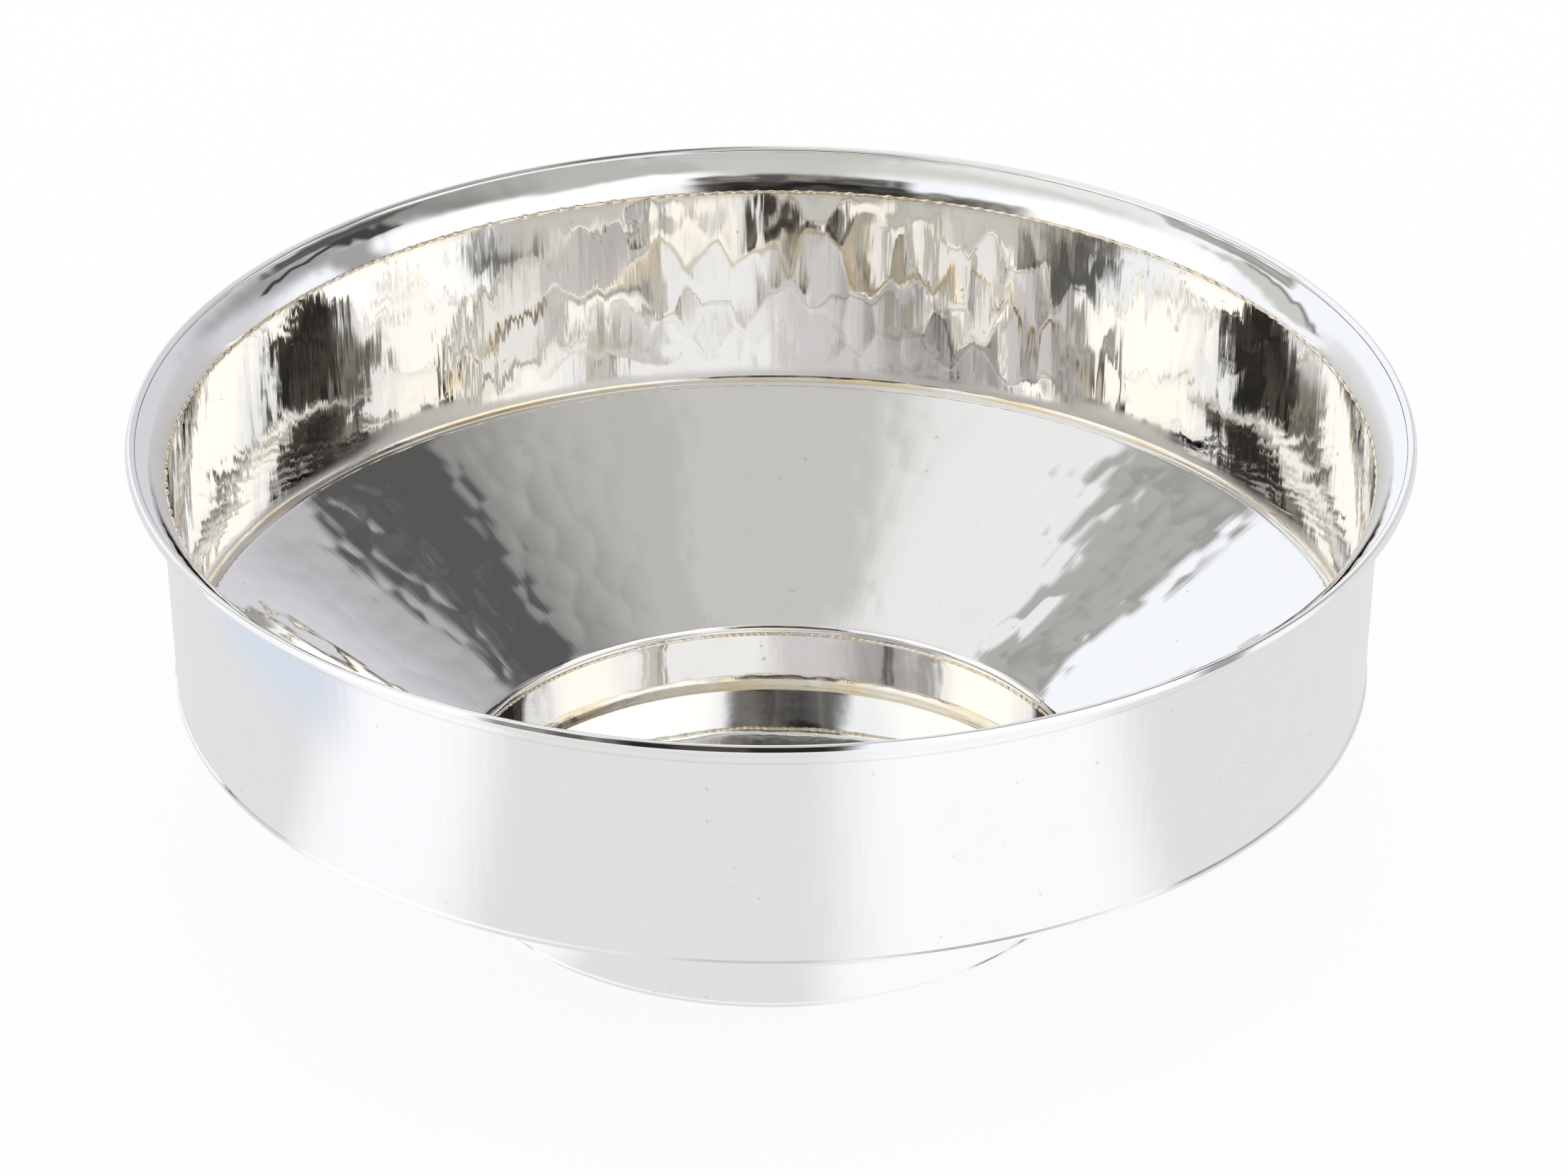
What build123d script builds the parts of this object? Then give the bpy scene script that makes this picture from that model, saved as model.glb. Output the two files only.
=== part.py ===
"""Offering bowl of hammered sheet metal: flared lip, upright wall, sloping floor and a round well.

Every piece is a body of revolution about Z. The bowl stands on the XY plane, and the sizes are in mm.
The profiles are drawn in the XZ plane, where x is the radius and y is the height.
"""

import os
from math import atan2, cos, degrees, radians, sin, tan

from build123d import *

# Driving dimensions
sheet = 1.2  # thickness of the hammered sheet
bend_radius = 1.0  # inside radius of each bend in the sheet

well_radius = 74.4  # inside radius of the well at its floor
well_flare = 0.5  # how much wider the well is at its top
well_wall = 13.4  # height of the well's wall
base_overhang = 0.3  # how far the base disc stands out past the well's wall
base_rounding = 0.5  # rounding of the base disc's lower edge

collar_rise = 0.6  # upright part of the floor's edge above the well's wall
floor_slope = 29.8  # degrees above the horizontal
floor_run = 64.4  # from the inside of the well at its floor to the inside of the wall
seat_margin = 1.0  # flat of the seat inside the wall, which the solder covers
seat_overhang = 0.4  # flat of the seat outside the wall

wall_height = 51.3
wall_lean = 2.0  # how much wider the wall is at its top
flare_start = 70.0  # degrees above the horizontal where the lip leaves the wall
flare_end = 24.0  # degrees above the horizontal at the lip's edge
flare_radius = 14.0  # bend of the lip's upper face

wire_height = 2.2  # across the lip's edge
wire_depth = 2.0  # along the lip
wire_rounding = 0.6
wire_grip = 0.7  # how deep the lip's edge is let into the wire

seam_bead = 0.4  # radius of the solder bead in the crease under the lip and in the well's mouth
base_leg = 2.2  # leg of the solder in the corner of the well's floor

# Places worked out from the driving dimensions
roll_radius = bend_radius + sheet
well_top_radius = well_radius + well_flare
wall_foot_radius = well_radius + floor_run
wall_top_radius = wall_foot_radius + wall_lean
upright = 90.0
well_angle = degrees(atan2(well_wall, well_flare))
wall_angle = degrees(atan2(wall_height, wall_lean))


def export_piece(piece, name):
    """Label a finished piece and write it to its own file."""
    piece.part.label = name
    export_step(piece.part, f"parts/{name}.step")


def solder_corner(name, corner, leg, rise_angle):
    """Make a fillet ring between a flat inside the corner and the wall that rises from it."""
    with BuildPart() as corner_ring:
        with BuildSketch(Plane.XZ):
            with BuildLine():
                flat = Line(corner, (corner[0] - leg, corner[1]))
                rise = PolarLine(corner, leg, rise_angle)
                Line(flat @ 1, rise @ 1)
            make_face()
        revolve(axis=Axis.Z)
    export_piece(corner_ring, name)


def solder_bead(name, seam):
    """Make a round bead in the groove of a seam where two edges meet."""
    with BuildPart() as bead_ring:
        with BuildSketch(Plane.XZ):
            with Locations(seam):
                Circle(seam_bead)
        revolve(axis=Axis.Z)
    export_piece(bead_ring, name)


os.makedirs("parts", exist_ok=True)

# Base disc, which closes the well and stands on the table
with BuildPart() as base_disc:
    with BuildSketch():
        Circle(well_radius + sheet + base_overhang)
    extrude(amount=sheet)
    fillet(base_disc.edges().group_by(Axis.Z)[0], radius=base_rounding)
export_piece(base_disc, "base_disc")

# Well ring: the wall of the well, a little wider at its top, with half a groove in the seam
mouth_seam = (well_top_radius, sheet + well_wall)
with BuildPart() as well_ring:
    with BuildSketch(Plane.XZ):
        with BuildLine():
            well_foot = (well_radius, sheet)
            outer_well_top = (well_top_radius + sheet, mouth_seam[1])
            outer_well_foot = (well_radius + sheet, sheet)
            Polyline(well_foot, mouth_seam, outer_well_top, outer_well_foot, close=True)
        make_face()
        with Locations(mouth_seam):
            Circle(seam_bead, mode=Mode.SUBTRACT)
    revolve(axis=Axis.Z)
export_piece(well_ring, "well_ring")

# Floor cone: rolled down at the well's mouth to stand on the well ring, with the other half of the groove,
# and turned flat at its rim, as a seat for the wall
seat_start = wall_foot_radius - seat_margin
with BuildPart() as floor_cone:
    with BuildSketch(Plane.XZ):
        with BuildLine():
            collar = PolarLine(mouth_seam, collar_rise, upright)
            roll = JernArc(collar @ 1, collar % 1, roll_radius, floor_slope - upright)
            slope_run = seat_start - roll_radius * sin(radians(floor_slope)) - (roll @ 1).X
            slope = PolarLine(roll @ 1, slope_run / cos(radians(floor_slope)), floor_slope)
            shoulder = JernArc(slope @ 1, slope % 1, roll_radius, -floor_slope)
            seat_end = (wall_foot_radius + sheet + seat_overhang, (shoulder @ 1).Y)
            Line(shoulder @ 1, seat_end)
            offset(amount=sheet, side=Side.RIGHT)
        make_face()
        with Locations(mouth_seam):
            Circle(seam_bead, mode=Mode.SUBTRACT)
    revolve(axis=Axis.Z)
export_piece(floor_cone, "floor_cone")

# Wall band: stands on the floor's seat and leans out a little, with half a groove in the crease
wall_foot = (wall_foot_radius, (shoulder @ 1).Y)
crease = (wall_top_radius, wall_foot[1] + wall_height)
with BuildPart() as wall_band:
    with BuildSketch(Plane.XZ):
        with BuildLine():
            outer_top = (crease[0] + sheet, crease[1])
            outer_foot = (wall_foot[0] + sheet, wall_foot[1])
            Polyline(wall_foot, crease, outer_top, outer_foot, close=True)
        make_face()
        with Locations(crease):
            Circle(seam_bead, mode=Mode.SUBTRACT)
    revolve(axis=Axis.Z)
export_piece(wall_band, "wall_band")

# Rim flange: the flared lip, drawn from a little below the crease and cut flat where it stands on the wall
lead_in_trim = 4 * sheet
with BuildPart() as rim_flange:
    with BuildSketch(Plane.XZ) as flange_profile:
        with BuildLine():
            lead_in = Line((crease[0] - sheet / tan(radians(flare_start)), crease[1] - sheet), crease)
            flare = JernArc(crease, lead_in % 1, flare_radius, flare_end - flare_start)
            offset(amount=sheet, side=Side.RIGHT)
        make_face()
        with Locations(crease):
            Rectangle(lead_in_trim, lead_in_trim, align=(Align.CENTER, Align.MAX), mode=Mode.SUBTRACT)
            Circle(seam_bead, mode=Mode.SUBTRACT)
    revolve(axis=Axis.Z)
export_piece(rim_flange, "rim_flange")

# Rim edge wire: a square wire with rounded corners and a slot that the lip's edge is let into
lip_heading = flare % 1
lip_end = flare @ 1 + lip_heading.rotate(Axis.Z, -upright) * (sheet / 2)
wire_centre = lip_end + lip_heading * (wire_depth / 2 - wire_grip)
with BuildPart() as rim_edge_wire:
    with BuildSketch(Plane.XZ):
        with Locations(wire_centre):
            RectangleRounded(wire_depth, wire_height, wire_rounding, rotation=flare_end)
        add(flange_profile.sketch_local, mode=Mode.SUBTRACT)
    revolve(axis=Axis.Z)
export_piece(rim_edge_wire, "rim_edge_wire")

# Solder beads in the two seams where edges meet: the crease under the lip and the well's mouth
solder_bead("rim_solder", crease)
solder_bead("mouth_solder", mouth_seam)

# Solder in two corners: the wall on its seat and the edge of the well's floor
solder_corner("shoulder_solder", wall_foot, seat_margin, wall_angle)
solder_corner("base_solder", well_foot, base_leg, well_angle)
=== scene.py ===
"""Offering bowl: the dressed model of a hammered sheet-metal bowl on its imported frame.

The file is laid out as an add-on and is run as a script. Each operator makes one piece, or one group of like
pieces. The frame gives the places and most sizes, and the property groups hold what a user would change.
Every piece is turned about the Z axis from an outline of (radius, height) points in metres.
"""

import math
from dataclasses import dataclass

import bpy
import numpy as np
from bpy.props import FloatProperty, FloatVectorProperty, PointerProperty
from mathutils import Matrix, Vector


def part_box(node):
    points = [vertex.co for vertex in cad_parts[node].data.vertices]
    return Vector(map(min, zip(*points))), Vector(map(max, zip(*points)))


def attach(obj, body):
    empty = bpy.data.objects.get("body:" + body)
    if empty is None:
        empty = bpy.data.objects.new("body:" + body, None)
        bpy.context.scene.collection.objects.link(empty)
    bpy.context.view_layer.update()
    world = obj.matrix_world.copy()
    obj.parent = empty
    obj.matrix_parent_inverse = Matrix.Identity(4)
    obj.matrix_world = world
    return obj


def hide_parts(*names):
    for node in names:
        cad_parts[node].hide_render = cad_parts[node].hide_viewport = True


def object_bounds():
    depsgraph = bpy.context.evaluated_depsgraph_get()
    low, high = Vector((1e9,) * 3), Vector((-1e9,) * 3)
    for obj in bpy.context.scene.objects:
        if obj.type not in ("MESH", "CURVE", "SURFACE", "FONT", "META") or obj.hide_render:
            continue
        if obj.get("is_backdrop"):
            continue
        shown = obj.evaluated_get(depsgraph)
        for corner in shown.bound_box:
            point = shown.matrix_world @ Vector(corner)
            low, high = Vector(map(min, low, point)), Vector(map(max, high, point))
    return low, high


bl_info = {
    "name": "Offering Bowl",
    "version": (1, 0, 0),
    "blender": (4, 5, 0),
    "location": "View3D > Sidebar > Bowl",
    "description": "Dresses the packed frame of a hammered metal offering bowl",
    "category": "Add Mesh",
}

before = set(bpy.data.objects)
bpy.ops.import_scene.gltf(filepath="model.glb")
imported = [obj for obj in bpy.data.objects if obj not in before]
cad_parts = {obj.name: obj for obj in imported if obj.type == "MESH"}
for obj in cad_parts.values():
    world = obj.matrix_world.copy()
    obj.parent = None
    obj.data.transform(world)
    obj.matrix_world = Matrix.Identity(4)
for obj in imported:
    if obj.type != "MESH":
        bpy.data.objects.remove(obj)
cad_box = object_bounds()

MM = 0.001
TURN = 2 * math.pi
UPRIGHT = math.pi / 2
WHITE = (1.0, 1.0, 1.0)

# Columns of the turned meshes, more where the relief is finer
WALL_COLUMNS = 1600
FLOOR_COLUMNS = 780
LIP_COLUMNS = 900
WIRE_COLUMNS = 720
RING_COLUMNS = 600
DISC_COLUMNS = 360
BEAD_COLUMNS = 1800
CORNER_COLUMNS = 900
SHARP_ANGLE = math.radians(35)

# Hammer marks: sharpness of the ridges between them, and how far a mark strays as shares of its size
RIDGE_SHARPNESS = 80
SIDE_STRAY = 0.3
LENGTH_STRAY = 0.35

# Waves that are summed into a ripple or a scallop, the range of their sizes and about where their sum peaks
RIPPLE_WAVES = 7
SCALLOP_WAVES = 5
WAVE_SIZES = (0.4, 1.0)
WAVE_PEAK = 3

# Roughness of the polish, and what smudges, specks and worn zones add to it
POLISH = 0.03
SMUDGE_ROUGHNESS = 0.05
SPECK_ROUGHNESS = 0.2
WORN_ROUGHNESS = 0.3

# Shares of tarnish in the film all over, by the seams and in the specks
FILM_TARNISH = 0.06
SEAM_TARNISH = 0.35
SPECK_TARNISH = 0.5

# Headings of the two patches of deeper hammering on the floor, and how far each spreads
PATCH_HEADINGS = (math.radians(46), math.radians(135))
PATCH_SPREAD = math.radians(15)


# Places read from the frame

def radius_span(node):
    """Least and greatest distance of a node's points from the bowl's axis."""
    points = np.array([vertex.co[:2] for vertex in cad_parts[node].data.vertices])
    radii = np.hypot(points[:, 0], points[:, 1])
    return float(radii.min()), float(radii.max())


def height_span(node):
    """Lowest and highest point of a node."""
    low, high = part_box(node)
    return low.z, high.z


sheet = height_span("base_disc")[1]
foot_radius = radius_span("base_disc")[1]
well_radius = radius_span("well_ring")[0]
well_top_radius = radius_span("well_ring")[1] - sheet
mouth_height = height_span("well_ring")[1]
well_lean = math.atan2(mouth_height - sheet, well_top_radius - well_radius)
seat_radius = radius_span("floor_cone")[1]
seat_start = radius_span("shoulder_solder")[0]
seat_height, crease_height = height_span("wall_band")
wall_foot_radius = radius_span("wall_band")[0]
crease_radius = radius_span("wall_band")[1] - sheet
wall_lean = math.atan2(crease_height - seat_height, crease_radius - wall_foot_radius)
bead = height_span("rim_solder")[1] - crease_height


# What a user would change

class BowlForm(bpy.types.PropertyGroup):
    """Angles, bends and the edge wire's section, which the node boxes don't give."""

    floor_slope: FloatProperty(
        name="Floor slope", description="Rise of the sloping floor above the level",
        default=math.radians(29.8), subtype="ANGLE")
    bend: FloatProperty(
        name="Bend", description="Inside radius of each bend in the sheet", default=1.0 * MM, unit="LENGTH")
    collar_rise: FloatProperty(
        name="Collar rise", description="Upright part of the floor's edge above the well's wall",
        default=0.6 * MM, unit="LENGTH")
    flare_start: FloatProperty(
        name="Flare start", description="Rise of the lip where it leaves the wall",
        default=math.radians(70), subtype="ANGLE")
    flare_end: FloatProperty(
        name="Flare end", description="Rise of the lip at its edge",
        default=math.radians(24), subtype="ANGLE")
    flare_radius: FloatProperty(
        name="Flare radius", description="Bend of the lip's upper face", default=14.0 * MM, unit="LENGTH")
    wire_height: FloatProperty(
        name="Wire height", description="Edge wire across the lip", default=2.2 * MM, unit="LENGTH")
    wire_depth: FloatProperty(
        name="Wire depth", description="Edge wire along the lip", default=2.0 * MM, unit="LENGTH")
    wire_rounding: FloatProperty(
        name="Wire rounding", description="Rounding of the edge wire's corners",
        default=0.6 * MM, unit="LENGTH")
    wire_grip: FloatProperty(
        name="Wire grip", description="How deep the lip is let into its wire",
        default=0.7 * MM, unit="LENGTH")
    base_rounding: FloatProperty(
        name="Base rounding", description="Rounding of the base's lower edge",
        default=0.5 * MM, unit="LENGTH")


class BowlHammering(bpy.types.PropertyGroup):
    """Size of the hammer marks."""

    wall_width: FloatProperty(
        name="Wall mark width", description="Width of a mark round the wall", default=6.2 * MM, unit="LENGTH")
    wall_length: FloatProperty(
        name="Wall mark length", description="Upright length of a mark", default=14.0 * MM, unit="LENGTH")
    wall_hollow: FloatProperty(
        name="Wall mark hollow", description="Radius of a wall mark's hollow",
        default=100.0 * MM, unit="LENGTH")
    floor_width: FloatProperty(
        name="Floor mark width", description="Width of a mark round the floor",
        default=6.5 * MM, unit="LENGTH")
    floor_length: FloatProperty(
        name="Floor mark length", description="Length of a mark down the floor",
        default=8.0 * MM, unit="LENGTH")
    floor_hollow: FloatProperty(
        name="Floor mark hollow", description="Radius of a floor mark's hollow",
        default=185.0 * MM, unit="LENGTH")
    lip_width: FloatProperty(
        name="Lip mark width", description="Width of a mark round the lip", default=9.0 * MM, unit="LENGTH")
    lip_hollow: FloatProperty(
        name="Lip mark hollow", description="Radius of a lip mark's hollow",
        default=220.0 * MM, unit="LENGTH")


class BowlFinish(bpy.types.PropertyGroup):
    """Colours of the metal."""

    silver: FloatVectorProperty(
        name="Silver", description="Polished metal", default=(0.96, 0.945, 0.915), size=3, subtype="COLOR")
    tarnish: FloatVectorProperty(
        name="Tarnish", description="Warm film by the seams", default=(0.72, 0.62, 0.46), size=3,
        subtype="COLOR")
    solder: FloatVectorProperty(
        name="Solder", description="Gold seam metal", default=(0.90, 0.77, 0.54), size=3, subtype="COLOR")


class BowlStage(bpy.types.PropertyGroup):
    """Camera and backdrop."""

    aim: FloatVectorProperty(
        name="Aim", description="Point in the middle of the picture", default=(3.0 * MM, 0, 68.9 * MM),
        size=3, subtype="TRANSLATION")
    distance: FloatProperty(name="Distance", description="Camera to aim", default=1.879, unit="LENGTH")
    pitch: FloatProperty(
        name="Pitch", description="Camera's height above the level",
        default=math.radians(28.94), subtype="ANGLE")
    lens: FloatProperty(name="Lens", description="Focal length in millimetres", default=183.5)
    backdrop: FloatVectorProperty(
        name="Backdrop", description="Colour of the floor and backdrop", default=(0.98, 0.98, 0.98), size=3,
        subtype="COLOR")


# Shader maths

class Wire:
    """A socket of a node tree that can be used in Python arithmetic."""

    def __init__(self, tree, socket=None):
        self.tree = tree
        self.socket = socket

    def node(self, kind, settings=None, sockets=None, output=0):
        """Add a node, with its settings set first and then its sockets' values or links; give one output."""
        made = self.tree.nodes.new(kind)
        for name, value in (settings or {}).items():
            setattr(made, name, value)
        for name, value in (sockets or {}).items():
            if isinstance(value, Wire):
                self.tree.links.new(value.socket, made.inputs[name])
            else:
                made.inputs[name].default_value = value
        return Wire(self.tree, made.outputs[output]) if len(made.outputs) else None

    def math(self, operation, first, second):
        return self.node("ShaderNodeMath", {"operation": operation}, {0: first, 1: second})

    def __add__(self, other):
        return self.math("ADD", self, other)

    def __sub__(self, other):
        return self.math("SUBTRACT", self, other)

    def __rsub__(self, other):
        return self.math("SUBTRACT", other, self)

    def __mul__(self, other):
        return self.math("MULTIPLY", self, other)

    def __truediv__(self, other):
        return self.math("DIVIDE", self, other)

    __radd__ = __add__
    __rmul__ = __mul__

    def smooth(self, low, high):
        """Rise from 0 at low to 1 at high, eased at both ends."""
        return self.node(
            "ShaderNodeMapRange", {"interpolation_type": "SMOOTHSTEP"},
            {"Value": self, "From Min": low, "From Max": high, "To Min": 0.0, "To Max": 1.0})

    def within(self, limit, soft):
        """1 where this value lies within a limit either way, eased to 0 outside it."""
        return self.math("ABSOLUTE", self, 0.0).smooth(limit + soft, limit - soft)

    def blend(self, first, second):
        """Mix two colours by this factor; the node's colours are inputs 6 and 7 and output 2."""
        return self.node(
            "ShaderNodeMix", {"data_type": "RGBA"},
            {0: self, 6: as_colour(first), 7: as_colour(second)}, output=2)

    def vector(self, operation, other=None, output=0):
        """Vector maths on this vector, with another where the operation takes one."""
        sockets = {0: self} if other is None else {0: self, 1: other}
        return self.node("ShaderNodeVectorMath", {"operation": operation}, sockets, output)

    def dot(self, other):
        """Length of this vector along another."""
        return self.vector("DOT_PRODUCT", other, output="Value")

    def stretch(self, scale):
        """Scale a vector by three factors."""
        return self.vector("MULTIPLY", scale)

    def noise(self, scale, detail=2.0):
        """Noise of this vector, from 0 to 1."""
        return self.node("ShaderNodeTexNoise", None, {"Vector": self, "Scale": scale, "Detail": detail})

    def part(self, axis):
        """One component of this vector."""
        return self.node("ShaderNodeSeparateXYZ", None, {0: self}, output="XYZ".index(axis))


def as_colour(value):
    """Give a three-number colour its alpha."""
    return value if isinstance(value, Wire) else (*value, 1.0)


def new_material(name):
    """Make a material with an empty node tree."""
    material = bpy.data.materials.new(name)
    material.use_nodes = True
    material.node_tree.nodes.clear()
    return material, Wire(material.node_tree)


def bowl_place(graph):
    """Place on the bowl in metres."""
    return graph.node("ShaderNodeTexCoord", output="Object")


def around(place):
    """Unit direction from the axis and distance from it, for marks that run round or down the bowl."""
    level = place.stretch((1, 1, 0))
    return level.vector("NORMALIZE"), level.vector("LENGTH", output="Value")


def ray_is(graph, kind):
    """1 for the light rays of a kind, and 0 for the others."""
    return graph.node("ShaderNodeLightPath", output=f"Is {kind} Ray")


# Finishes

def silver_finish(name, strokes, depth, seams=None, worn=None):
    """Polished silver with smudges, specks, strokes of a depth, a warm film by seams and a worn zone."""
    finish = bpy.context.scene.bowl_finish
    material, graph = new_material(name)
    place = bowl_place(graph)
    smudge = place.noise(scale=45.0, detail=3.0).smooth(0.45, 0.8)
    specks = place.noise(scale=330.0, detail=3.0).smooth(0.72, 0.76)
    film = place.noise(scale=110.0, detail=4.0).smooth(0.5, 0.85) * FILM_TARNISH
    roughness = POLISH + smudge * SMUDGE_ROUGHNESS + specks * SPECK_ROUGHNESS
    if seams is not None:
        film = film + seams(place) * SEAM_TARNISH
    if worn is not None:
        roughness = roughness + worn(place) * WORN_ROUGHNESS
    colour = film.blend(finish.silver, finish.tarnish)
    colour = (specks * SPECK_TARNISH).blend(colour, finish.tarnish)
    bumps = graph.node(
        "ShaderNodeBump", None, {"Strength": 1.0, "Distance": depth, "Height": strokes(place)})
    metal = graph.node(
        "ShaderNodeBsdfPrincipled", None,
        {"Base Color": colour, "Metallic": 1.0, "Roughness": roughness, "Normal": bumps})
    graph.node("ShaderNodeOutputMaterial", None, {"Surface": metal})
    return material


def wall_silver():
    """Silver of the wall, polished up and down, and duller at its foot, higher up by the floor's patches."""
    def seams(place):
        _, distance = around(place)
        inside = distance.smooth(crease_radius + 0.8 * sheet, crease_radius + 0.4 * sheet)
        return inside * (place.part("Z") - crease_height).within(1.2 * MM, 1.2 * MM)

    def worn(place):
        heading, distance = around(place)
        inside = distance.smooth(wall_foot_radius + 0.8 * sheet, wall_foot_radius + 0.5 * sheet)
        rise = place.part("Z") - seat_height
        sideways = heading.part("X") * heading.part("X")
        by_patches = (sideways - 0.395).within(0.1, 0.08)
        return inside * (rise.smooth(4.5 * MM, 1 * MM) + by_patches * rise.smooth(8 * MM, 4 * MM))

    def strokes(place):
        return place.stretch((1, 1, 0.1)).noise(scale=420.0)

    return silver_finish("wall_silver", strokes, 0.04 * MM, seams, worn)


def floor_silver():
    """Silver of the floor, polished towards the well."""
    def strokes(place):
        heading, _ = around(place)
        return heading.stretch((60, 60, 0)).vector("ADD", place.stretch((40, 40, 40))).noise(scale=1.0)

    return silver_finish("floor_silver", strokes, 0.01 * MM)


def lip_silver():
    """Silver of the lip and its edge, polished round the bowl, and duller by the crease on the front half."""
    def strokes(place):
        _, distance = around(place)
        section = place.node("ShaderNodeCombineXYZ", None, {"X": distance, "Y": place.part("Z")})
        return section.noise(scale=900.0)

    def seams(place):
        return (place.part("Z") - crease_height).within(0.6 * MM, 0.4 * MM)

    def worn(place):
        heading, distance = around(place)
        rise = place.part("Z") - crease_height
        inside = (distance - rise * 0.6).smooth(crease_radius + 1.2 * MM, crease_radius + 0.7 * MM)
        front = heading.part("Y").smooth(0.42, 0.28)
        return inside * front * rise.within(5.4 * MM, 1.2 * MM) * 2.0

    return silver_finish("lip_silver", strokes, 0.006 * MM, seams, worn)


def well_silver():
    """Silver of the well, polished without a grain."""
    return silver_finish("well_silver", lambda place: place.noise(scale=160.0), 0.02 * MM)


def seam_solder():
    """Gold solder of the seams, nearly silver in places."""
    finish = bpy.context.scene.bowl_finish
    material, graph = new_material("seam_solder")
    place = bowl_place(graph)
    pale = place.noise(scale=40.0, detail=3.0).smooth(0.35, 0.65)
    dull = place.noise(scale=300.0, detail=3.0).smooth(0.4, 0.7)
    pits = graph.node(
        "ShaderNodeBump", None,
        {"Strength": 1.0, "Distance": 0.02 * MM, "Height": place.noise(scale=1100.0)})
    metal = graph.node(
        "ShaderNodeBsdfPrincipled", None,
        {"Base Color": (pale * 0.7).blend(finish.solder, finish.silver), "Metallic": 1.0,
         "Roughness": 0.1 + dull * 0.15, "Normal": pits})
    graph.node("ShaderNodeOutputMaterial", None, {"Surface": metal})
    return material


# Outlines

def line(start, end, step):
    """Points from start towards end, without the end, at most a step apart."""
    start, end = np.array(start), np.array(end)
    count = max(1, math.ceil(np.linalg.norm(end - start) / step - 1e-6))
    return start + (end - start) * (np.arange(count) / count)[:, None]


def arc(centre, radius, first, last, step):
    """Points on an arc from the first angle towards the last, without the last, at most a step apart."""
    count = max(2, math.ceil(abs(last - first) * radius / step))
    angles = first + (last - first) * np.arange(count) / count
    return np.array(centre) + radius * np.column_stack((np.cos(angles), np.sin(angles)))


def polar(centre, radius, angle):
    """One point on a circle."""
    return (centre[0] + radius * math.cos(angle), centre[1] + radius * math.sin(angle))


# Hammer marks and ripples

@dataclass
class HammerMarks:
    """Marks in rows: width round the bowl, length, radii of the hollow both ways, and how uneven they are."""

    width: float
    length: float
    hollow: float
    long_hollow: float
    tilt: float
    level: float


def ease(value, width):
    """Rise from 0 to 1 over a width."""
    share = np.clip(value / width, 0, 1)
    return share * share * (3 - 2 * share)


def row_of_marks(marks, radius, rng, centre, angle, along):
    """Heights of the hollows in the row at a centre, one grid for each of the five nearest marks."""
    count = round(TURN * radius(centre) / marks.width)
    pitch = TURN / count
    slip = rng.uniform(0, 1)
    side = rng.uniform(-SIDE_STRAY, SIDE_STRAY, count)
    drop = rng.uniform(-LENGTH_STRAY, LENGTH_STRAY, count) * marks.length
    level = rng.uniform(0, marks.level, count)
    lean = rng.normal(0, marks.tilt, count)
    nod = rng.normal(0, marks.tilt, count)
    base = np.floor(angle / pitch - slip).astype(int)
    for shift in range(-2, 3):
        mark = (base + shift) % count
        across = (angle - (base + shift + 0.5 + slip + side[mark]) * pitch) * radius(along)
        down = along - centre - drop[mark]
        height = (across ** 2 / marks.hollow + down ** 2 / marks.long_hollow) / 2
        yield height + lean[mark] * across + nod[mark] * down + level[mark]


def hammered(marks, radius, seed, margins, strength=None):
    """Relief of overlapping hollow marks in rows; radius is that of a row, strength varies round the bowl."""
    def relief(angle, along, length):
        rng = np.random.default_rng(seed)
        sharp = RIDGE_SHARPNESS * marks.hollow / marks.width ** 2
        total = np.zeros(np.broadcast(angle, along).shape)
        rows = max(1, round(length / marks.length))
        for row in range(-1, rows + 1):
            centre = (row + 0.5) * length / rows
            for height in row_of_marks(marks, radius, rng, centre, angle, along):
                total += np.exp(-sharp * height)
        surface = -np.log(total) / sharp
        fade = ease(along, margins[0]) * ease(length - along, margins[1])
        if strength is not None:
            fade = fade * strength(angle)
        return (surface - surface.mean()) * fade

    return relief


def rippled(height, waves, seed, slant=0.0, margin=1.5 * MM):
    """Relief of a few long ripples round the bowl, a little slanted, fading in a margin at the run's ends."""
    def relief(angle, along, length):
        rng = np.random.default_rng(seed)
        surface = 0.0
        for count in rng.choice(np.arange(*waves), RIPPLE_WAVES, replace=False):
            phase = rng.uniform(0, TURN)
            drift = rng.normal(0, slant) / max(length, MM)
            surface = surface + np.sin(count * angle + phase + drift * along) * rng.uniform(*WAVE_SIZES)
        fade = min(margin, length / 3)
        return surface * height / WAVE_PEAK * ease(along, fade) * ease(length - along, fade)

    return relief


def scalloped(height, waves, seed):
    """Relief of short waves round the bowl, the same all across the run."""
    def relief(angle, along, length):
        rng = np.random.default_rng(seed)
        surface = 0.0
        for count in rng.choice(np.arange(*waves), SCALLOP_WAVES, replace=False):
            surface = surface + np.sin(count * angle + rng.uniform(0, TURN)) * rng.uniform(*WAVE_SIZES)
        return np.broadcast_to(surface * height / WAVE_PEAK, np.broadcast(angle, along).shape)

    return relief


def both(first, second):
    """Two reliefs in one."""
    return lambda angle, along, length: first(angle, along, length) + second(angle, along, length)


# Turned meshes

def run_grids(points, relief, angles):
    """Radius and height grids of a run of outline points, pushed by its relief along the outward normals."""
    if relief is None:
        return np.repeat(points[:, :1], len(angles), 1), np.repeat(points[:, 1:], len(angles), 1)
    ahead = np.gradient(points, axis=0)
    size = np.maximum(np.linalg.norm(ahead, axis=1, keepdims=True), 1e-12)
    normal = np.column_stack((ahead[:, 1], -ahead[:, 0])) / size
    gaps = np.linalg.norm(np.diff(points, axis=0), axis=1)
    along = np.concatenate(([0.0], np.cumsum(gaps)))[:, None]
    push = relief(angles[None, :], along, float(along[-1, 0]))
    return points[:, :1] + normal[:, :1] * push, points[:, 1:] + normal[:, 1:] * push


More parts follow.
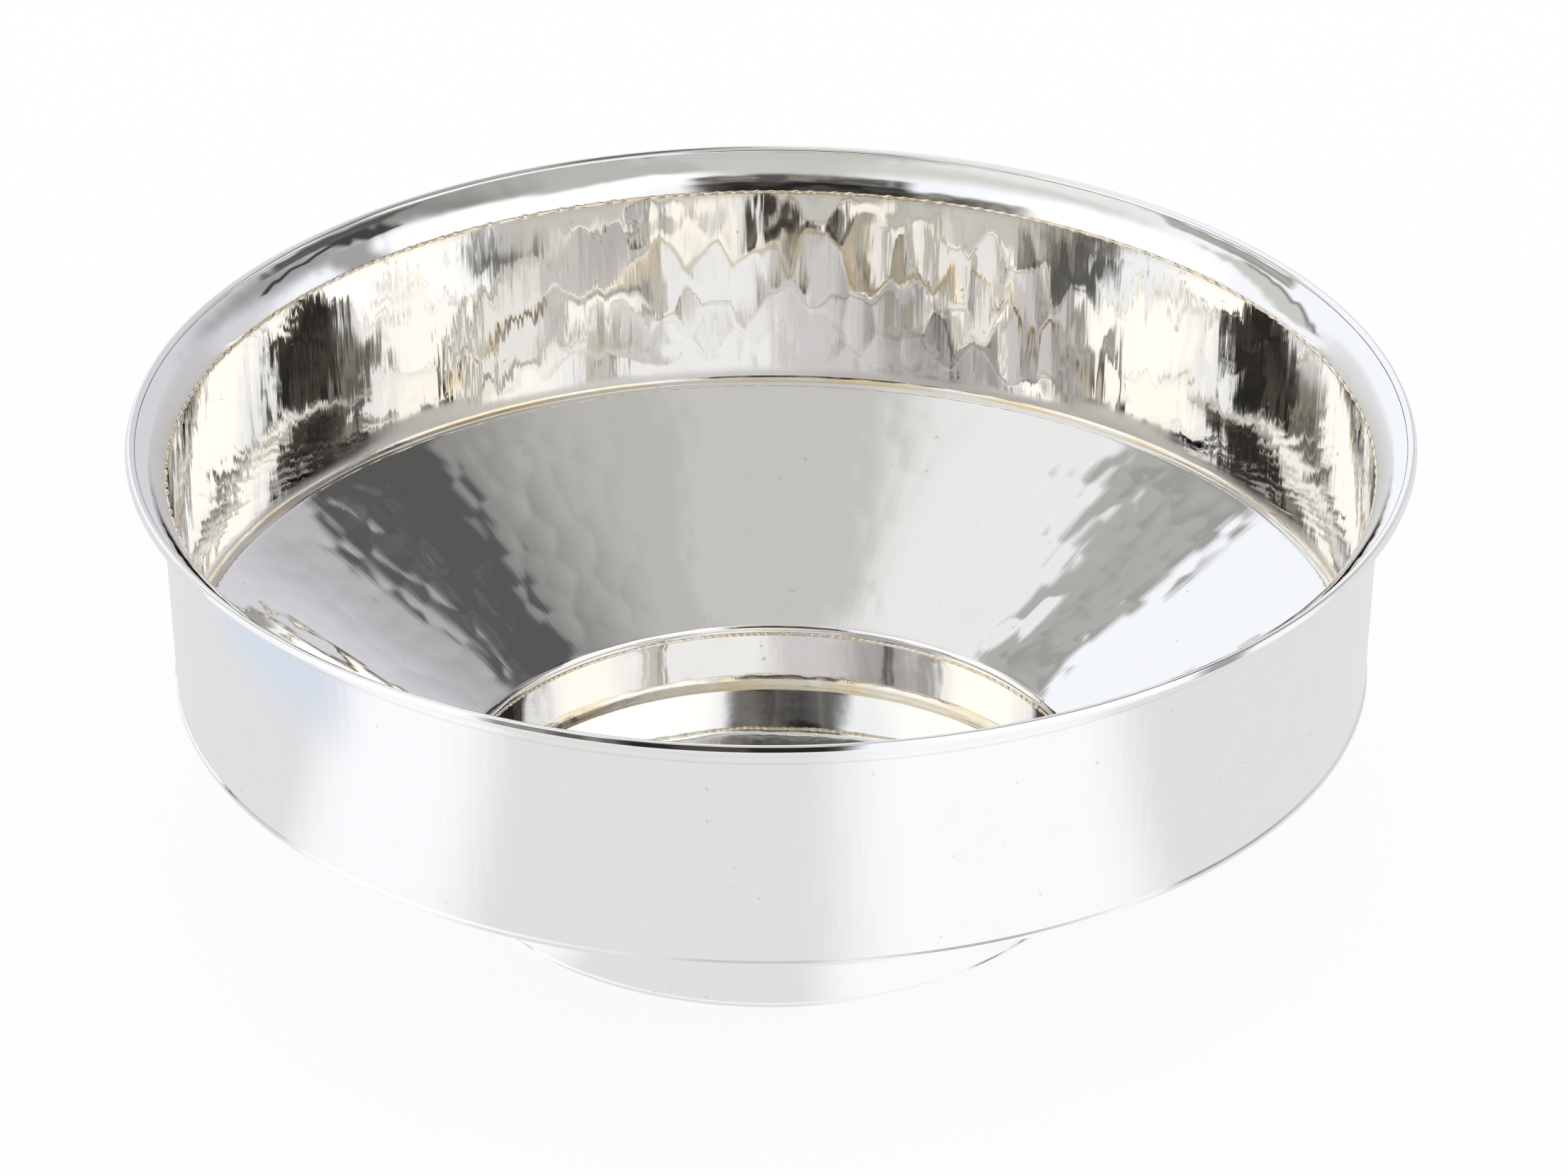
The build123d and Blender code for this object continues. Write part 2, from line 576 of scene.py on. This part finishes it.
def ring_faces(rows, columns, closed):
    """Faces between neighbouring rows, and from the last row to the first where the outline is closed."""
    step = np.arange(columns)
    after = (step + 1) % columns
    faces = []
    for row in range(rows if closed else rows - 1):
        here, there = row * columns, (row + 1) % rows * columns
        faces += np.column_stack((here + step, here + after, there + after, there + step)).tolist()
    return faces


def pole_faces(rows, columns):
    """Faces from the first and last rows to two poles, which come after the rows' points."""
    first, last, edge = rows * columns, rows * columns + 1, (rows - 1) * columns
    faces = [(first, (step + 1) % columns, step) for step in range(columns)]
    return faces + [(last, edge + step, edge + (step + 1) % columns) for step in range(columns)]


def new_piece(name, points, faces):
    """Put a mesh into the scene, smooth but for its sharp corners."""
    mesh = bpy.data.meshes.new(name)
    mesh.from_pydata(points, [], faces)
    mesh.shade_smooth()
    mesh.set_sharp_from_angle(angle=SHARP_ANGLE)
    piece = bpy.data.objects.new(name, mesh)
    bpy.context.scene.collection.objects.link(piece)
    return piece


def turned(name, runs, columns):
    """Turn runs of (outline points, relief or None) into a piece; one that starts on the axis gets poles."""
    angles = TURN * np.arange(columns) / columns
    grids = [run_grids(points, relief, angles) for points, relief in runs]
    radius, height = (np.vstack(parts) for parts in zip(*grids))
    closed = radius[0, 0] > 0
    body = slice(0, None) if closed else slice(1, -1)
    ring_radius, ring_height = radius[body], height[body]
    rows = len(ring_radius)
    points = np.stack((ring_radius * np.cos(angles), ring_radius * np.sin(angles), ring_height), -1)
    points = points.reshape(-1, 3)
    faces = ring_faces(rows, columns, closed)
    if not closed:
        points = np.vstack((points, (0, 0, height[0, 0]), (0, 0, height[-1, 0])))
        faces += pole_faces(rows, columns)
    return new_piece(name, points.tolist(), faces)


def dress(piece, node, material):
    """Let a piece stand for a CAD node, with its finish."""
    piece.data.materials.append(material)
    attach(piece, "root")
    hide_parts(node)


# Light of the stage

def studio_card(azimuth, height, half_width, half_height, colour, soft=0.06, roll=0.0, mottle=None):
    """One card: heading from the back to the right, height, size and roll in degrees, and its mottling."""
    turn, rise, tilt = math.radians(azimuth), math.radians(height), math.radians(roll)
    towards = Vector((math.sin(turn) * math.cos(rise), math.cos(turn) * math.cos(rise), math.sin(rise)))
    level = Vector((math.cos(turn), -math.sin(turn), 0))
    across = level * math.cos(tilt) + level.cross(towards) * math.sin(tilt)
    return {
        "towards": towards, "across": across, "up": across.cross(towards), "soft": soft,
        "colour": colour, "mottle": mottle or colour,
        "half_width": math.tan(math.radians(half_width)), "half_height": math.tan(math.radians(half_height))}


def painted_floor_light(azimuth, half_width, near, far, colour, soft=8.0):
    """One patch of painted light on the floor, a glow that only the metal sees: heading from the front to the
    right and width in degrees, reach in metres.
    """
    turn = math.radians(azimuth)
    return {
        "towards": (math.sin(turn), -math.cos(turn), 0), "colour": colour,
        "outer": math.cos(math.radians(half_width + soft)),
        "inner": math.cos(math.radians(half_width - soft)),
        "middle": (near + far) / 2, "reach": (far - near) / 2}


# The floor: how much it glows for the camera, and its colour in the metal with patches of painted light that
# glow for the metal only
FLOOR_GLOW = 0.9
FLOOR_COLOUR = (0.785, 0.785, 0.815)
PAINTED_FLOOR_LIGHTS = (
    painted_floor_light(31.5, 19.5, 0.0, 3.0, (1.0, 1.02, 1.06)),
    painted_floor_light(-55.5, 12.0, 0.0, 3.0, (1.0, 1.02, 1.08)),
    painted_floor_light(-83.0, 14.0, 0.25, 0.33, (0.70, 0.77, 0.89)),
)

# The studio: its colour in the metal, and its cards, where each lies over those before it
STUDIO_COLOUR = (0.95, 0.985, 1.06)
STUDIO_CARDS = (
    studio_card(128, 35, 22, 22, (1.2, 1.2, 1.2), 0.2),
    studio_card(-108, 28, 20, 18, (1.15, 1.15, 1.15), 0.2),
    studio_card(-130, 72, 28, 16, (0.68, 0.68, 0.66), 0.2),
    studio_card(-48, 68, 16, 10, (0.85, 0.86, 0.88), 0.15),
    studio_card(40, 22, 36, 26, (0.68, 0.68, 0.74), 0.2),
    studio_card(63, 38, 18, 13, (0.35, 0.35, 0.37), 0.2),
    studio_card(95, 68, 27, 18, (0.50, 0.50, 0.49), 0.1),
    studio_card(74, 59, 24, 7, (0.26, 0.26, 0.26), 0.16, -8),
    studio_card(184, 62, 9, 28, (0.60, 0.60, 0.58)),
    studio_card(-15, 86, 9, 12, (0.57, 0.57, 0.56)),
    studio_card(94, 20, 22, 5, (0.38, 0.38, 0.40), 0.05, -66),
    studio_card(74, 49, 12, 3.6, (0.06, 0.06, 0.06), 0.03, -22),
    studio_card(66, 38, 1.8, 10, (0.05, 0.05, 0.05), 0.02),
    studio_card(51.5, 51.3, 8, 5.5, (0.10, 0.10, 0.10), 0.03, 62, (0.15, 0.15, 0.15)),
    studio_card(20, 71, 6, 3, (0.15, 0.15, 0.15), 0.03),
    studio_card(-51, 48.5, 8.5, 6.5, (0.35, 0.355, 0.345), 0.03, -62, (0.44, 0.445, 0.435)),
    studio_card(-67, 27, 7, 17, (0.62, 0.62, 0.60), 0.05),
    studio_card(-60.5, 27, 1.2, 16, (0.22, 0.22, 0.22), 0.03),
    studio_card(213, 20, 15, 9, (0.12, 0.115, 0.105), 0.08, 0, (0.30, 0.28, 0.25)),
    studio_card(186, 42, 17, 8, (0.10, 0.10, 0.095), 0.06, 0, (0.24, 0.23, 0.21)),
    studio_card(186, 24.5, 19, 11.5, (0.02, 0.02, 0.019), 0.06, 0, (0.07, 0.061, 0.054)),
)


# Operators

class BOWL_OT_wall(bpy.types.Operator):
    """Make the upright wall, hammered inside and smooth outside"""

    bl_idname = "bowl.wall"
    bl_label = "Wall"

    def execute(self, context):
        hammering = context.scene.bowl_hammering
        foot, outer_foot = (wall_foot_radius, seat_height), (wall_foot_radius + sheet, seat_height)
        top, outer_top = (crease_radius, crease_height), (crease_radius + sheet, crease_height)
        marks = HammerMarks(
            width=hammering.wall_width, length=hammering.wall_length, hollow=hammering.wall_hollow,
            long_hollow=4.5 * hammering.wall_hollow, tilt=0.009, level=0.01 * MM)

        def strength(angle):
            return 0.4 + 0.6 * np.cos(1.5 * angle - math.radians(111)) ** 2

        inside = hammered(
            marks, lambda along: wall_foot_radius, seed=11, margins=(6 * MM, 3 * MM), strength=strength)
        outside = rippled(0.05 * MM, waves=(3, 24), seed=12, slant=0.5)
        runs = [
            (line(outer_foot, outer_top, 4 * MM), outside),
            (line(outer_top, polar(top, bead, 0), sheet), None),
            (arc(top, bead, 0, wall_lean - math.pi, 0.2 * MM), None),
            (line(polar(top, -bead, wall_lean), foot, 1.6 * MM), inside),
            (line(foot, outer_foot, sheet), None)]
        dress(turned("hammered_wall", runs, WALL_COLUMNS), "wall_band", wall_silver())
        return {"FINISHED"}


class BOWL_OT_floor(bpy.types.Operator):
    """Make the sloping floor, rolled down at the well's mouth and turned flat as a seat for the wall"""

    bl_idname = "bowl.floor"
    bl_label = "Sloping floor"

    def execute(self, context):
        form, hammering = context.scene.bowl_form, context.scene.bowl_hammering
        slope, bend, roll = form.floor_slope, form.bend, form.bend + sheet
        gentle = UPRIGHT + slope
        seam, outer_foot = (well_top_radius, mouth_height), (well_top_radius + sheet, mouth_height)
        mouth = (well_top_radius + roll, mouth_height + form.collar_rise)
        shoulder = (seat_start, seat_height - roll)
        wall_face = wall_foot_radius + sheet
        under_edge = (seat_radius, seat_height - sheet)
        over_edge = (seat_radius, seat_height - (seat_radius - wall_face))
        top, bottom = polar(shoulder, roll, gentle), polar(mouth, roll, gentle)
        face = self.face(hammering, top[0], slope)
        rolled = rippled(0.04 * MM, waves=(6, 40), seed=22)
        runs = [
            (line(outer_foot, polar(mouth, bend, math.pi), 1 * MM), None),
            (arc(mouth, bend, math.pi, gentle, 0.3 * MM), None),
            (line(polar(mouth, bend, gentle), polar(shoulder, bend, gentle), 4 * MM), None),
            (arc(shoulder, bend, gentle, UPRIGHT, 0.3 * MM), None),
            (line((seat_start, seat_height - sheet), under_edge, 2 * MM), None),
            (line(under_edge, over_edge, 0.4 * MM), None),
            (line(over_edge, (wall_face, seat_height), sheet), None),
            (line((wall_face, seat_height), (seat_start, seat_height), 2 * MM), None),
            (arc(shoulder, roll, UPRIGHT, gentle, 0.5 * MM), None),
            (line(top, bottom, 1.0 * MM), face),
            (arc(mouth, roll, gentle, math.pi, 0.25 * MM), rolled),
            (line(polar(mouth, roll, math.pi), polar(seam, bead, UPRIGHT), 0.6 * MM), None),
            (arc(seam, bead, UPRIGHT, 0, 0.2 * MM), None),
            (line(polar(seam, bead, 0), outer_foot, sheet), None)]
        dress(turned("sloping_floor", runs, FLOOR_COLUMNS), "floor_cone", floor_silver())
        return {"FINISHED"}

    def face(self, hammering, top_radius, slope):
        """Relief of the upper face: hammer marks, deeper in two patches, on long waves."""
        marks = HammerMarks(
            width=hammering.floor_width, length=hammering.floor_length, hollow=hammering.floor_hollow,
            long_hollow=1.5 * hammering.floor_hollow, tilt=0.008, level=0.006 * MM)

        def radius(along):
            return top_radius - along * math.cos(slope)

        def strength(angle):
            offsets = [(angle - heading) / PATCH_SPREAD for heading in PATCH_HEADINGS]
            return 0.7 + 0.9 * sum(np.exp(-offset ** 2) for offset in offsets)

        return both(
            hammered(marks, radius, seed=21, margins=(6 * MM, 4 * MM), strength=strength),
            rippled(0.35 * MM, waves=(4, 18), seed=23, slant=4.0, margin=15 * MM))


class BOWL_OT_lip(bpy.types.Operator):
    """Make the flared lip and the rounded square wire along its edge"""

    bl_idname = "bowl.lip"
    bl_label = "Lip and edge wire"

    def execute(self, context):
        form = context.scene.bowl_form
        material = lip_silver()
        radius, inner = form.flare_radius, form.flare_radius - sheet
        start, end = form.flare_start + UPRIGHT, form.flare_end + UPRIGHT
        centre = polar((crease_radius, crease_height), -radius, start)
        self.flange(context.scene.bowl_hammering, centre, radius, start, end, material)
        self.wire(form, polar(centre, (radius + inner) / 2, end), material)
        return {"FINISHED"}

    def flange(self, hammering, centre, radius, start, end, material):
        """The flared sheet from the crease to its edge."""
        inner = radius - sheet
        under_start = math.pi - math.asin((crease_height - centre[1]) / inner)
        marks = HammerMarks(
            width=hammering.lip_width, length=6 * MM, hollow=hammering.lip_hollow,
            long_hollow=2 * hammering.lip_hollow, tilt=0.008, level=0.006 * MM)
        crease = (crease_radius, crease_height)
        groove = start - bead / radius
        under = rippled(0.06 * MM, waves=(8, 40), seed=31)
        over = hammered(marks, lambda along: crease_radius, seed=32, margins=(1.5 * MM, 1.5 * MM))
        runs = [
            (arc(crease, bead, start - UPRIGHT, 0, 0.2 * MM), None),
            (line(polar(crease, bead, 0), polar(centre, inner, under_start), sheet), None),
            (arc(centre, inner, under_start, end, 0.8 * MM), under),
            (line(polar(centre, inner, end), polar(centre, radius, end), sheet), None),
            (arc(centre, radius, end, groove, 0.7 * MM), over)]
        dress(turned("flared_lip", runs, LIP_COLUMNS), "rim_flange", material)

    def wire(self, form, lip_end, material):
        """The edge wire, with its slot for the lip."""
        tilt = form.flare_end
        across, deep, rounding = form.wire_height / 2, form.wire_depth / 2, form.wire_rounding
        middle = np.array(polar(lip_end, deep - form.wire_grip, tilt))
        turn = np.array(((math.cos(tilt), math.sin(tilt)), (-math.sin(tilt), math.cos(tilt))))
        slot, flat, side = sheet / 2, deep - rounding, across - rounding
        pinch = math.asin((slot - side) / rounding)
        shoulder = -flat - rounding * math.cos(pinch)
        bottom = -deep + form.wire_grip
        fine, step = 0.15 * MM, 0.2 * MM
        outline = [
            line((bottom, -slot), (shoulder, -slot), step),
            arc((-flat, -side), rounding, math.pi + pinch, 3 * UPRIGHT, fine),
            line((-flat, -across), (flat, -across), step),
            arc((flat, -side), rounding, 3 * UPRIGHT, TURN, fine),
            line((deep, -side), (deep, side), step),
            arc((flat, side), rounding, 0, UPRIGHT, fine),
            line((flat, across), (-flat, across), step),
            arc((-flat, side), rounding, UPRIGHT, math.pi - pinch, fine),
            line((shoulder, slot), (bottom, slot), step),
            line((bottom, slot), (bottom, -slot), step)]
        runs = [(middle + points @ turn, None) for points in outline]
        dress(turned("lip_edge_wire", runs, WIRE_COLUMNS), "rim_edge_wire", material)


class BOWL_OT_well(bpy.types.Operator):
    """Make the well's wall, which is the foot, and the disc that closes it"""

    bl_idname = "bowl.well"
    bl_label = "Well and base"

    def execute(self, context):
        material = well_silver()
        self.ring(material)
        self.disc(context.scene.bowl_form.base_rounding, material)
        return {"FINISHED"}

    def ring(self, material):
        """The well's wall, a little wider at its top, with its half of the groove."""
        foot, outer_foot = (well_radius, sheet), (well_radius + sheet, sheet)
        top, outer_top = (well_top_radius, mouth_height), (well_top_radius + sheet, mouth_height)
        outside = rippled(0.04 * MM, waves=(4, 24), seed=41)
        inside = rippled(0.05 * MM, waves=(6, 36), seed=42, slant=2.0)
        runs = [
            (line(outer_foot, outer_top, 1.5 * MM), outside),
            (line(outer_top, polar(top, bead, 0), sheet), None),
            (arc(top, bead, 0, well_lean - math.pi, 0.2 * MM), None),
            (line(polar(top, -bead, well_lean), foot, 0.8 * MM), inside),
            (line(foot, outer_foot, sheet), None)]
        dress(turned("well_wall", runs, RING_COLUMNS), "well_ring", material)

    def disc(self, rounding, material):
        """The base, with a rounded lower edge and a floor that isn't quite flat."""
        corner = (foot_radius - rounding, rounding)
        ring_face = well_radius + sheet
        edge = (foot_radius, sheet - (foot_radius - ring_face))
        floor = rippled(0.06 * MM, waves=(2, 14), seed=43, slant=4.0, margin=40 * MM)
        runs = [
            (line((0, 0), (corner[0], 0), 4 * MM), None),
            (arc(corner, rounding, -UPRIGHT, 0, 0.15 * MM), None),
            (line((foot_radius, rounding), edge, 0.4 * MM), None),
            (line(edge, (ring_face, sheet), sheet), None),
            (line((ring_face, sheet), (well_radius, sheet), sheet), None),
            (line((well_radius, sheet), (0, sheet), 2 * MM), floor),
            (np.array([(0.0, sheet)]), None)]
        dress(turned("well_floor", runs, DISC_COLUMNS), "base_disc", material)


class BOWL_OT_seams(bpy.types.Operator):
    """Make the gold solder in the four seams"""

    bl_idname = "bowl.seams"
    bl_label = "Solder seams"

    def execute(self, context):
        material = seam_solder()
        self.bead("crease_seam", "rim_solder", material, (crease_radius, crease_height), 0.3 * MM)
        self.bead("mouth_seam", "mouth_solder", material, (well_top_radius, mouth_height), 0.1 * MM)
        self.corner("shoulder_seam", "shoulder_solder", material, (wall_foot_radius, seat_height), wall_lean)
        self.corner("base_seam", "base_solder", material, (well_radius, sheet), well_lean)
        return {"FINISHED"}

    def bead(self, name, node, material, place, unevenness):
        """A round bead with uneven scallops."""
        scallops = scalloped(unevenness, waves=(140, 280), seed=51)
        runs = [(arc(place, bead, 0, TURN, 0.2 * MM), scallops)]
        dress(turned(name, runs, BEAD_COLUMNS), node, material)

    def corner(self, name, node, material, place, rise):
        """A hollow fillet in the corner between a flat to the inside and a wall that rises from it."""
        leg = place[0] - radius_span(node)[0]
        flat, top = (place[0] - leg, place[1]), polar(place, leg, rise)
        face = line(top, flat, 0.15 * MM)
        share = np.arange(len(face)) / len(face)
        sag = 0.8 * share * (1 - share)
        face = face + (np.array(place) - (np.array(flat) + top) / 2) * sag[:, None]
        runs = [
            (line(flat, place, leg / 2), None),
            (line(place, top, leg / 2), None),
            (face, rippled(0.05 * MM, waves=(20, 90), seed=52))]
        dress(turned(name, runs, CORNER_COLUMNS), node, material)


class BOWL_OT_stage(bpy.types.Operator):
    """Set the floor, the soft light and the camera"""

    bl_idname = "bowl.stage"
    bl_label = "Stage"

    def execute(self, context):
        stage = context.scene.bowl_stage
        context.scene.view_settings.view_transform = "Standard"
        self.floor(stage)
        self.world(context.scene)
        self.camera(context.scene, stage)
        return {"FINISHED"}

    def floor(self, stage):
        """A wide pale floor that the camera and the metal see as near white, with a soft shadow."""
        half, drop = 6.0, -0.05 * MM
        corners = [(-half, -half, drop), (half, -half, drop), (half, half, drop), (-half, half, drop)]
        floor = new_piece("stage_floor", corners, [(0, 1, 2, 3)])
        material, graph = new_material("stage_floor")
        heading, distance = around(bowl_place(graph))
        seen = ray_is(graph, "Camera") + ray_is(graph, "Transmission")
        mirrored = ray_is(graph, "Glossy")
        surface = graph.node("ShaderNodeBsdfDiffuse", None, {"Color": as_colour(stage.backdrop)})
        layers = [(seen * FLOOR_GLOW, WHITE), (mirrored, FLOOR_COLOUR)]
        # Patches of painted light: the floor glows brighter, or bluer and dimmer, there for the metal's
        # reflections only
        for card in PAINTED_FLOOR_LIGHTS:
            lit = heading.dot(card["towards"]).smooth(card["outer"], card["inner"])
            lit = lit * (distance - card["middle"]).within(card["reach"], 15 * MM)
            layers.append((mirrored * lit, card["colour"]))
        for share, colour in layers:
            glow = graph.node("ShaderNodeEmission", None, {"Color": as_colour(colour), "Strength": 1.0})
            surface = graph.node("ShaderNodeMixShader", None, {0: share, 1: surface, 2: glow})
        graph.node("ShaderNodeOutputMaterial", None, {"Surface": surface})
        floor.data.materials.append(material)
        floor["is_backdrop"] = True

    def world(self, scene):
        """White surroundings for the camera; grey and dark cards of a studio for the metal."""
        world = bpy.data.worlds.new("studio")
        world.use_nodes = True
        world.node_tree.nodes.clear()
        scene.world = world
        graph = Wire(world.node_tree)
        heading = graph.node("ShaderNodeTexCoord", output="Generated")
        light = STUDIO_COLOUR
        patches = heading.stretch((1, 1, 0.5)).noise(scale=9.0, detail=3.0).smooth(0.42, 0.62)
        for card in STUDIO_CARDS:
            near = heading.dot(card["towards"])
            inside = (heading.dot(card["across"]) / near).within(card["half_width"], card["soft"])
            inside = inside * (heading.dot(card["up"]) / near).within(card["half_height"], card["soft"])
            colour = patches.blend(card["colour"], card["mottle"])
            light = (inside * near.smooth(0.0, 0.1)).blend(light, colour)
        light = ray_is(graph, "Glossy").blend(WHITE, light)
        shown = graph.node("ShaderNodeBackground", None, {"Color": light, "Strength": 1.0})
        graph.node("ShaderNodeOutputWorld", None, {"Surface": shown})

    def camera(self, scene, stage):
        """A long lens at the photograph's height."""
        camera = bpy.data.objects.new("camera", bpy.data.cameras.new("camera"))
        camera.data.lens = stage.lens
        camera.data.clip_end = 50.0
        back = Vector((0, -math.cos(stage.pitch), math.sin(stage.pitch)))
        camera.location = Vector(stage.aim) + back * stage.distance
        camera.rotation_euler = (UPRIGHT - stage.pitch, 0, 0)
        scene.collection.objects.link(camera)
        scene.camera = camera


class BOWL_PT_panel(bpy.types.Panel):
    """List the bowl's pieces and sizes"""

    bl_idname = "BOWL_PT_panel"
    bl_label = "Offering Bowl"
    bl_space_type = "VIEW_3D"
    bl_region_type = "UI"
    bl_category = "Bowl"

    def draw(self, context):
        for operator in OPERATORS:
            self.layout.operator(operator.bl_idname)
        for name, group in GROUPS.items():
            box = self.layout.box()
            for key in group.__annotations__:
                box.prop(getattr(context.scene, name), key)


OPERATORS = (BOWL_OT_wall, BOWL_OT_floor, BOWL_OT_lip, BOWL_OT_well, BOWL_OT_seams, BOWL_OT_stage)
GROUPS = {
    "bowl_form": BowlForm,
    "bowl_hammering": BowlHammering,
    "bowl_finish": BowlFinish,
    "bowl_stage": BowlStage,
}


def register():
    for item in (*GROUPS.values(), *OPERATORS, BOWL_PT_panel):
        bpy.utils.register_class(item)
    for name, group in GROUPS.items():
        setattr(bpy.types.Scene, name, PointerProperty(type=group))


def unregister():
    for name in GROUPS:
        delattr(bpy.types.Scene, name)
    for item in (BOWL_PT_panel, *reversed(OPERATORS), *reversed(GROUPS.values())):
        bpy.utils.unregister_class(item)


def main():
    """Make every piece in order."""
    register()
    bpy.ops.bowl.wall()
    bpy.ops.bowl.floor()
    bpy.ops.bowl.lip()
    bpy.ops.bowl.well()
    bpy.ops.bowl.seams()
    bpy.ops.bowl.stage()
    boxes = {"cad": cad_box, "visual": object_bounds()}
    {name: [list(corner) for corner in box] for name, box in boxes.items()}


if __name__ == "__main__":
    main()
